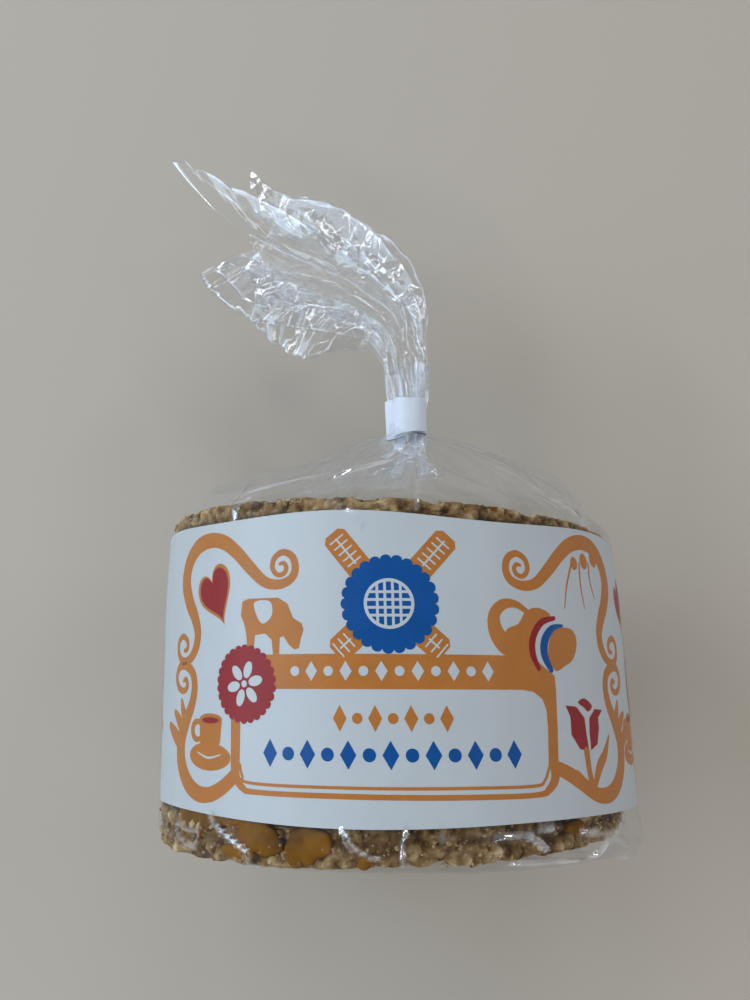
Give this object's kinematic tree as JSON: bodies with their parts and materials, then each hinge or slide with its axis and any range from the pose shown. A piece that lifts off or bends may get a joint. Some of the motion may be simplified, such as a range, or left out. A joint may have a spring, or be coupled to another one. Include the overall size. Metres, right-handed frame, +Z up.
{
  "type": "bagged stroopwafel stack",
  "caption": "Stack of round thin waffle biscuits with a printed paper band in a clear film bag, gathered and taped at the neck, lying on its side.",
  "frame": {"origin": "on the flat underside of the paper band, on the resting surface, under the middle of the stack's length", "axes": "+Y along the stack towards the taped neck, +Z up to the label's shown side, +X to the right of the label's front"},
  "size_m": [0.105, 0.1635, 0.0901],
  "materials": {
    "clear_film": "glossy clear film, crumpled",
    "printed_paper": "coated white paper with flat printed colours",
    "orange_print": "flat printed ink",
    "blue_print": "flat printed ink",
    "red_print": "flat printed ink",
    "white_tape": "satin adhesive tape",
    "wafel_crust": "dry, rough baked crumb",
    "caramel_syrup": "sticky, translucent amber syrup"
  },
  "bodies": {
    "root": {"film_bag": "clear_film", "label": "printed_paper", "closure_tape": "white_tape"}
  },
  "joints": []
}
